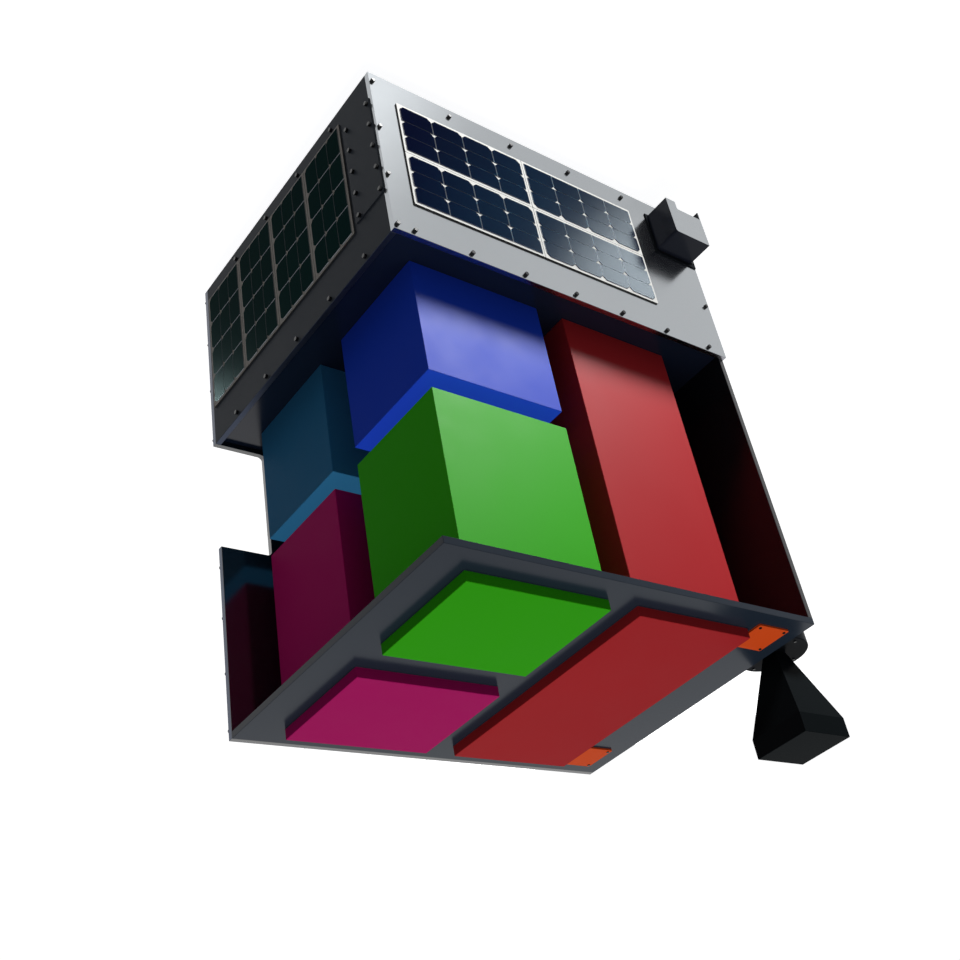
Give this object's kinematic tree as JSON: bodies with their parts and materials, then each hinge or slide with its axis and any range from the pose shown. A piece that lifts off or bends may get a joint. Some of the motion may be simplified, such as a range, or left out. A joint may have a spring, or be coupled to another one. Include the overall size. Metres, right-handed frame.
{
  "type": "small earth observation satellite with open payload bay",
  "caption": "Box-shaped small satellite with body-mounted solar arrays, an open payload bay of coloured units, a horn antenna and an adapter ring.",
  "frame": {"origin": "centre of the launch adapter ring's lower face, on its axis", "axes": "+Z away from the ring towards the payload deck, -Y the front with the larger solar array, +X the right side with the smaller array"},
  "size_m": [0.9485, 0.7275, 1.2288],
  "materials": {
    "bare_aluminium": "machined, clear chromated",
    "silver_panel": "satin silver grey, fine grain",
    "deck_coat": "semi-gloss dark blue grey",
    "unit_blue": "satin blue",
    "unit_teal": "satin teal",
    "unit_green": "satin green",
    "unit_magenta": "satin magenta",
    "unit_red": "satin red",
    "module_substrate": "cream white film on a thin substrate",
    "solar_cell": "dark blue cells under cover glass",
    "dark_metal": "semi-gloss dark grey",
    "sensor_sheet": "satin silver grey",
    "horn_black": "black with slight gloss",
    "patch_orange": "matt orange"
  },
  "bodies": {
    "root": {"adapter_ring": "bare_aluminium", "base_deck": "deck_coat", "mid_deck": "deck_coat", "payload_deck": "deck_coat", "front_panel": "silver_panel", "right_panel": "silver_panel", "left_panel": "deck_coat", "back_panel": "deck_coat", "unit_front_lower": "unit_blue", "unit_back_lower": "unit_teal", "unit_front_upper": "unit_green", "unit_back_upper": "unit_magenta", "unit_tall": "unit_red", "module_front_1": "module_substrate", "module_front_2": "module_substrate", "module_front_3": "module_substrate", "module_front_4": "module_substrate", "module_right_1": "module_substrate", "module_right_2": "module_substrate", "module_right_3": "module_substrate", "module_right_4": "module_substrate", "cells_front_1": "solar_cell", "cells_front_2": "solar_cell", "cells_front_3": "solar_cell", "cells_front_4": "solar_cell", "cells_right_1": "solar_cell", "cells_right_2": "solar_cell", "cells_right_3": "solar_cell", "cells_right_4": "solar_cell", "access_cover": "silver_panel", "sensor_flange": "dark_metal", "sensor_housing": "sensor_sheet", "sensor_head": "dark_metal", "horn": "horn_black", "horn_cover": "horn_black", "horn_pedestal": "dark_metal", "horn_bracket": "dark_metal", "patch_antenna_front": "patch_orange", "patch_antenna_back": "patch_orange", "avionics_stack": "bare_aluminium"}
  },
  "joints": []
}
